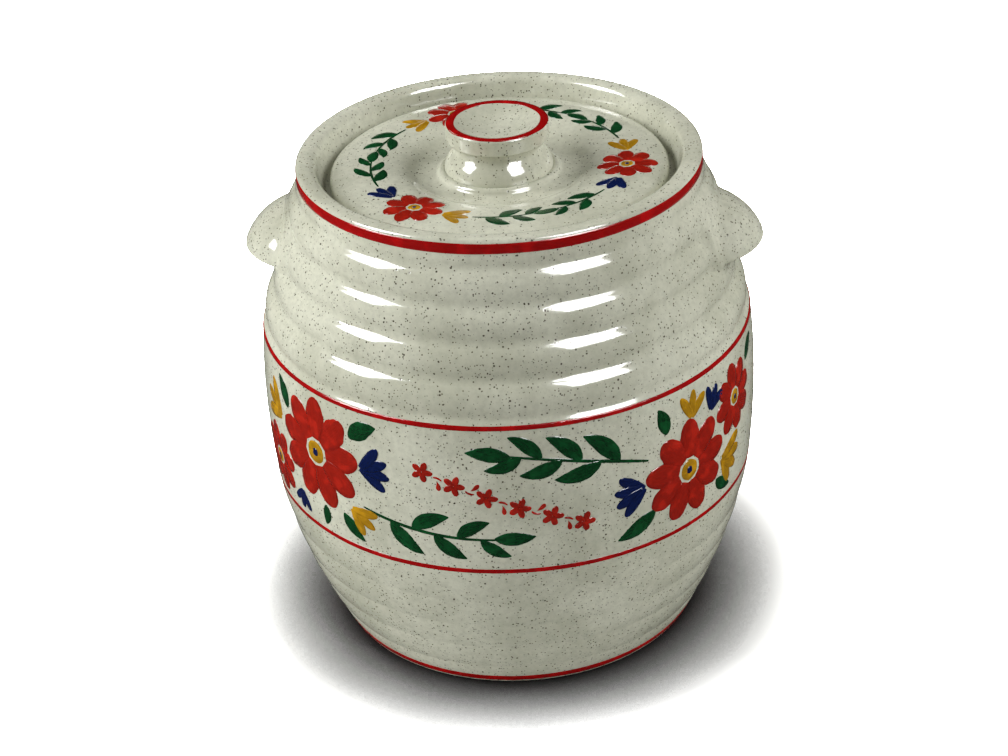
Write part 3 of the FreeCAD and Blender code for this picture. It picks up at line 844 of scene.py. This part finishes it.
def paint_line(name, form, start, end, body, uneven=True):
    """Line banded on the wheel, between two places on the outline."""
    steps = settings_shape().turn_steps * 2
    lift = settings_shape().paint_lift
    shaky = settings_shape().line_wobble
    layers, seed_shift, start_waves, end_waves = 2, 0.37, 3.1, 2.3
    stroke_length, stroke_width = 80, 4
    low, high = form.way_to(*start), form.way_to(*end)
    seed = sum(ord(letter) for letter in name)
    elsewhere = Vector((5.0, 0.0, 0.0))
    columns = len(BAND_SECTION)
    verts, faces, maps = [], [], []
    for k in range(steps):
        turn = math.tau * k / steps
        ring = Vector((math.cos(turn), math.sin(turn), seed * seed_shift))
        first = low + shaky * noise.noise(ring * start_waves)
        last = high + shaky * noise.noise(ring * end_waves + elsewhere)
        for j, share in enumerate(BAND_SECTION):
            raised = -lift if j in (0, columns - 1) else lift * layers
            verts.append(on_turned(form, turn, first + (last - first) * share, raised, uneven))
            maps.append((turn * stroke_length, share * stroke_width + seed % 7))
    for k in range(steps):
        for j in range(columns - 1):
            here, beside = k * columns + j, ((k + 1) % steps) * columns + j
            faces.append((here, beside, beside + 1, here + 1))
    piece = make_object(name, verts, faces, maps)
    tone = bpy.context.scene.jar_colours.line_red
    piece.data.materials.append(paint_material("banded_red", tone, 0.7, 0.6))
    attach(piece, body)


class JAR_OT_pot(bpy.types.Operator):
    """Throw the ribbed pot with its gallery and glaze it"""
    bl_idname = "jar.pot"
    bl_label = "Pot"

    def execute(self, context):
        pot = turned_mesh("pot", forms()["pot"], uneven=True)
        pot.data.materials.append(glaze_material("pot_glaze", specks_shown=0.42, thin_share=0.75))
        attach(pot, "jar")
        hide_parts("jar_body")
        return {"FINISHED"}


class JAR_OT_lugs(bpy.types.Operator):
    """Press the two shell-shaped lugs onto the ribbed shoulder"""
    bl_idname = "jar.lugs"
    bl_label = "Lugs"

    def execute(self, context):
        glaze = glaze_material("lug_glaze", specks_shown=0.62, thin_share=0.9)
        for node, facing in (("lug_right", 90.0), ("lug_left", -90.0)):
            lug = pressed_lug(f"{node}_shell", math.radians(facing))
            lug.data.materials.append(glaze)
            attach(lug, "jar")
            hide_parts(node)
        return {"FINISHED"}


class JAR_OT_lid(bpy.types.Operator):
    """Turn the sunken lid with its moat and bead"""
    bl_idname = "jar.lid"
    bl_label = "Lid"

    def execute(self, context):
        lid = turned_mesh("lid_disc", forms()["lid"], uneven=False)
        lid.data.materials.append(glaze_material("lid_glaze", specks_shown=0.30, thin_share=0.8))
        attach(lid, "lid")
        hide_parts("lid")
        return {"FINISHED"}


class JAR_OT_knob(bpy.types.Operator):
    """Turn the dished knob with its red ring"""
    bl_idname = "jar.knob"
    bl_label = "Knob"

    def execute(self, context):
        form = forms()["knob"]
        knob = turned_mesh("knob", form, uneven=False)
        knob.data.materials.append(glaze_material("knob_glaze", specks_shown=0.45, thin_share=0.8))
        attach(knob, "lid")
        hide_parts("lid_knob")
        outer, inner = (20.35, 220.65), (17.5, 220.85)
        paint_line("knob_line", form, outer, inner, "lid", uneven=False)
        return {"FINISHED"}


class JAR_OT_lines(bpy.types.Operator):
    """Band the red lines on rim, belly and foot"""
    bl_idname = "jar.lines"
    bl_label = "Red lines"

    def execute(self, context):
        form = forms()["pot"]
        for name, start, end in (
            ("rim_line", (NECK_RADIUS, 202.9), (81.9, 207.0)),
            ("upper_line", (101.95, 137.9), (101.5, 139.7)),
            ("lower_line", (102.05, 71.9), (102.3, 73.5)),
            ("foot_line", (79.4, 1.5), (80.6, 4.1)),
        ):
            paint_line(name, form, start, end, "jar")
        return {"FINISHED"}


class JAR_OT_belly_flowers(bpy.types.Operator):
    """Paint the flower sprays round the belly, front and back"""
    bl_idname = "jar.belly_flowers"
    bl_label = "Belly flowers"

    middle = 106.0

    def execute(self, context):
        for side, turn in (("front", 0.0), ("back", 180.0)):
            work = Brushwork(on_belly(turn, self.middle), seed=7)
            self.left_spray(work)
            self.right_spray(work)
            work.paint(f"belly_{side}", "jar")
        return {"FINISHED"}

    # A leaf's numbers are across, up, heading, length, width and bend, a bell's are across, up,
    # heading, size, petals and fan, and a round flower's are across, up, size and petals.

    def left_spray(self, work):
        work.move(-80.0, 0.0)
        work.spray(
            25.0, -11.0, heading=-6, length=60.0, bend=16,
            leaves=5, leaf_length=21.0, leaf_width=8.0, spread=34)
        work.leaf(14.0, -18.0, -48, 15.0, 6.4, 30)
        work.leaf(3.0, -19.0, -100, 11.0, 5.0, -30)
        work.leaf(20.0, 19.0, 30, 16.0, 8.0, -34)
        work.leaf(-20.0, 16.0, 124, 15.0, 7.0, 30)
        work.leaf(-51.0, -14.0, 196, 20.0, 7.0, 30)
        work.bell("yellow", -27.0, 9.0, 156, 17.0, 3, 74)
        work.bell("yellow", 19.0, -14.0, -34, 13.0, 3, 70)
        work.bell("blue", 25.0, 7.0, 8, 14.0, 4, 86)
        work.bell("blue", -14.0, -20.0, 260, 10.0, 3, 74)
        work.marguerite(0.0, 5.0, 24.0, 9)
        work.marguerite(-35.0, -14.0, 15.5, 8)

    def right_spray(self, work):
        work.move(86.0, 0.0)
        work.spray(
            -21.0, 7.0, heading=167, length=62.0, bend=12,
            leaves=6, leaf_length=23.0, leaf_width=8.0, spread=28)
        work.leaf(-12.0, 15.0, 106, 13.0, 6.4, 30)
        work.leaf(-18.0, -17.0, 208, 20.0, 7.6, -30)
        work.leaf(18.0, -20.0, -34, 15.0, 6.0, 30)
        work.leaf(48.0, 20.0, 34, 14.0, 6.0, -30)
        work.bell("yellow", 2.0, 17.0, 80, 12.0, 3, 76)
        work.bell("yellow", 22.0, -12.0, -22, 16.0, 4, 88)
        work.bell("blue", -23.0, -5.0, 188, 14.0, 4, 84)
        work.bell("blue", 14.0, 15.0, 62, 11.0, 3, 70)
        work.marguerite(0.0, -6.0, 22.0, 9)
        work.marguerite(34.0, 11.0, 15.5, 8)


class JAR_OT_front_sprig(bpy.types.Operator):
    """Paint the small garland that falls between the front sprays"""
    bl_idname = "jar.front_sprig"
    bl_label = "Front sprig"

    def execute(self, context):
        count, pitch, petals, reach = 6, 13.6, 5, 4.7
        stem_start, stem_length, leaf_start = 4.9, 4.0, pitch / 2
        work = Brushwork(on_belly(0.0, 100.0), seed=11)
        work.move(-27.0, 18.0, -21)
        for number in range(count):
            along = number * pitch
            for petal in range(petals):
                lean = 18 + 360 * petal / petals
                work.stroke("red", "petal", along, 0.0, lean, reach, 2.6, 10)
            if number < count - 1:
                side = 1 if number % 2 else -1
                stem, leaf = along + stem_start, along + leaf_start
                work.stroke("red", "stem", stem, 0.0, 0, stem_length, 1.0, side * 60)
                work.stroke("red", "comma", leaf, side * 0.8, side * 62, 4.6, 1.9, side * 30)
        work.paint("front_sprig", "jar")
        return {"FINISHED"}


class JAR_OT_lid_flowers(bpy.types.Operator):
    """Paint the wreath of three flowers round the lid"""
    bl_idname = "jar.lid_flowers"
    bl_label = "Lid flowers"

    def execute(self, context):
        work = Brushwork(on_lid, seed=23)
        ring, first, parts = 52.0, 235, 3
        for part in range(parts):
            bearing = (first + 360 * part // parts) % 360
            outwards = math.radians(bearing)
            work.move(ring * math.cos(outwards), ring * math.sin(outwards), bearing - 90)
            self.third(work)
        work.paint("lid_spray", "lid")
        return {"FINISHED"}

    def third(self, work):
        """One flower with a bell and a spray on each side, bent along the ring."""
        leaves = {"leaves": 4, "leaf_length": 13.0, "leaf_width": 5.4, "spread": 32}
        work.spray(24.0, -6.0, heading=-42, length=26.0, bend=-29, **leaves)
        work.spray(-24.0, -6.0, heading=222, length=26.0, bend=29, **leaves)
        work.bell("blue", 13.0, -2.0, -14, 11.0, 3, 66)
        work.bell("yellow", -13.0, -2.0, 194, 11.0, 3, 66)
        work.marguerite(0.0, 0.0, 12.0, 8)


class JAR_OT_stage(bpy.types.Operator):
    """Set up the white floor, two mirrored windows, two soft lamps, the sky and the camera"""
    bl_idname = "jar.stage"
    bl_label = "Stage"

    def execute(self, context):
        self.floor()
        self.lamps(context.scene.jar_stage)
        self.sky(context.scene)
        self.camera(context.scene)
        context.scene.view_settings.view_transform = "Standard"
        return {"FINISHED"}

    def floor(self):
        """White paper that bends up behind the jar, with a painted shadow from ambient occlusion that
        darkens it only close round its foot.
        """
        reach, back, rise, bend = 4.0, 3.0, 3.0, 0.8
        shadow_reach, shadow_depth, lit_grey, mirrored_grey = 0.075, 6.0, 0.75, 0.03
        line = [(-reach, 0.0), (back - bend, 0.0)]
        for angle in map(math.radians, range(10, 91, 10)):
            line.append((back - bend + bend * math.sin(angle), bend - bend * math.cos(angle)))
        line.append((back, rise))
        verts = [(x, y, z) for x in (-reach, reach) for y, z in line]
        count = len(line)
        faces = [(k, count + k, count + k + 1, k + 1) for k in range(count - 1)]
        floor = make_object("floor", verts, faces)
        nodes = Nodes("white_paper")
        rays = nodes.add("LightPath")
        # Painted shadow: ambient occlusion darkens the paper's colour near the jar, as the camera
        # sees it
        nearby = nodes.add("AmbientOcclusion", {"Distance": shadow_reach}, samples=16)
        shade = nodes.sums("POWER", nearby.outputs["AO"], shadow_depth)
        shaded = nodes.mix(shade, grey(0.0), grey(bpy.context.scene.jar_stage.floor_shade))
        lighting = nodes.mix(rays.outputs["Is Glossy Ray"], grey(lit_grey), grey(mirrored_grey))
        seen = nodes.mix(rays.outputs["Is Camera Ray"], lighting, shaded)
        paper = nodes.add("BsdfDiffuse", {"Color": seen})
        nodes.tree.links.new(paper.outputs[0], nodes.tree.nodes["Material Output"].inputs["Surface"])
        nodes.tree.nodes.remove(nodes.shader)
        floor.data.materials.append(nodes.material)

    def lamps(self, stage):
        """Lamps by direction, distance, power, width, height and whether the glaze mirrors them."""
        around = Matrix.Rotation(stage.turn, 4, "Z")
        target = Vector((0.0, 0.0, stage.height))
        for name, direction, distance, power, width, height, mirrored in (
            ("window_left", (-0.88, -0.14, 0.76), 3.0, stage.window_power, 1.10, 1.60, True),
            ("window_right", (0.60, -0.62, 0.79), 3.0, stage.window_power, 1.34, 1.35, True),
            ("lamp_left", (-0.85, -0.06, 0.52), 1.5, stage.left_power, 1.0, 1.0, False),
            ("lamp_right", (0.84, -0.04, 0.55), 1.5, stage.right_power, 1.0, 1.0, False),
        ):
            direction = Vector(direction).normalized()
            lamp = bpy.data.lights.new(name, "AREA")
            lamp.shape = "RECTANGLE"
            lamp.size = width
            lamp.size_y = height
            lamp.energy = power
            obj = bpy.data.objects.new(name, lamp)
            obj.location = target + around @ direction * distance
            obj.rotation_euler = (target - obj.location).to_track_quat("-Z", "Y").to_euler()
            obj.visible_glossy = mirrored
            obj.visible_diffuse = not mirrored
            bpy.context.scene.collection.objects.link(obj)

    def sky(self, scene):
        """Soft light from all round, weak in the glaze's mirror and white to the camera."""
        world = bpy.data.worlds.new("soft_room")
        world.use_nodes = True
        tree = world.node_tree
        background = tree.nodes["Background"]
        rays = tree.nodes.new("ShaderNodeLightPath")
        mirrored = scene.jar_stage.mirrored_sky
        strength = None
        for word, level in (("Is Glossy Ray", mirrored), ("Is Camera Ray", 1.0)):
            seen = tree.nodes.new("ShaderNodeMix")
            seen.inputs["A"].default_value = scene.jar_stage.sky
            seen.inputs["B"].default_value = level
            if strength:
                tree.links.new(strength, seen.inputs["A"])
            tree.links.new(rays.outputs[word], seen.inputs["Factor"])
            strength = seen.outputs["Result"]
        tree.links.new(strength, background.inputs["Strength"])
        background.inputs["Color"].default_value = grey(1.0)
        scene.world = world

    def camera(self, scene):
        stage = scene.jar_stage
        forward = Vector((0.0, math.cos(stage.rise), -math.sin(stage.rise)))
        right = Vector((1.0, 0.0, 0.0))
        up = right.cross(forward)
        side = right * math.cos(stage.tilt) + up * math.sin(stage.tilt)
        top = up * math.cos(stage.tilt) - right * math.sin(stage.tilt)
        place = Vector((-stage.aside, 0.0, stage.height)) - forward * stage.distance
        axes = Matrix((side, top, -forward)).transposed().to_4x4()
        lens = bpy.data.cameras.new("photo_camera")
        lens.sensor_width = 36.0
        lens.lens = stage.lens
        camera = bpy.data.objects.new("photo_camera", lens)
        around = Matrix.Rotation(stage.turn, 4, "Z")
        camera.matrix_world = around @ Matrix.Translation(place) @ axes
        scene.collection.objects.link(camera)
        scene.camera = camera


class JAR_PT_panel(bpy.types.Panel):
    """Lists the jar's pieces in the order in which they are made"""
    bl_idname = "JAR_PT_panel"
    bl_label = "Biscuit jar"
    bl_space_type = "VIEW_3D"
    bl_region_type = "UI"
    bl_category = "Jar"

    def draw(self, context):
        for operator in OPERATORS:
            self.layout.operator(operator.bl_idname)
        for group in (context.scene.jar_shape, context.scene.jar_colours, context.scene.jar_stage):
            box = self.layout.box()
            for word in group.__annotations__:
                box.prop(group, word)


GROUPS = {"jar_shape": JarShape, "jar_colours": JarColours, "jar_stage": JarStage}
OPERATORS = (
    JAR_OT_pot,
    JAR_OT_lugs,
    JAR_OT_lid,
    JAR_OT_knob,
    JAR_OT_lines,
    JAR_OT_belly_flowers,
    JAR_OT_front_sprig,
    JAR_OT_lid_flowers,
    JAR_OT_stage,
)


def register():
    for name, group in GROUPS.items():
        bpy.utils.register_class(group)
        setattr(bpy.types.Scene, name, PointerProperty(type=group))
    for made in (*OPERATORS, JAR_PT_panel):
        bpy.utils.register_class(made)


def unregister():
    for made in reversed((*OPERATORS, JAR_PT_panel)):
        bpy.utils.unregister_class(made)
    for name, group in GROUPS.items():
        delattr(bpy.types.Scene, name)
        bpy.utils.unregister_class(group)


def main():
    register()
    for operator in OPERATORS:
        group, action = operator.bl_idname.split(".")
        getattr(getattr(bpy.ops, group), action)()


if __name__ == "__main__":
    main()
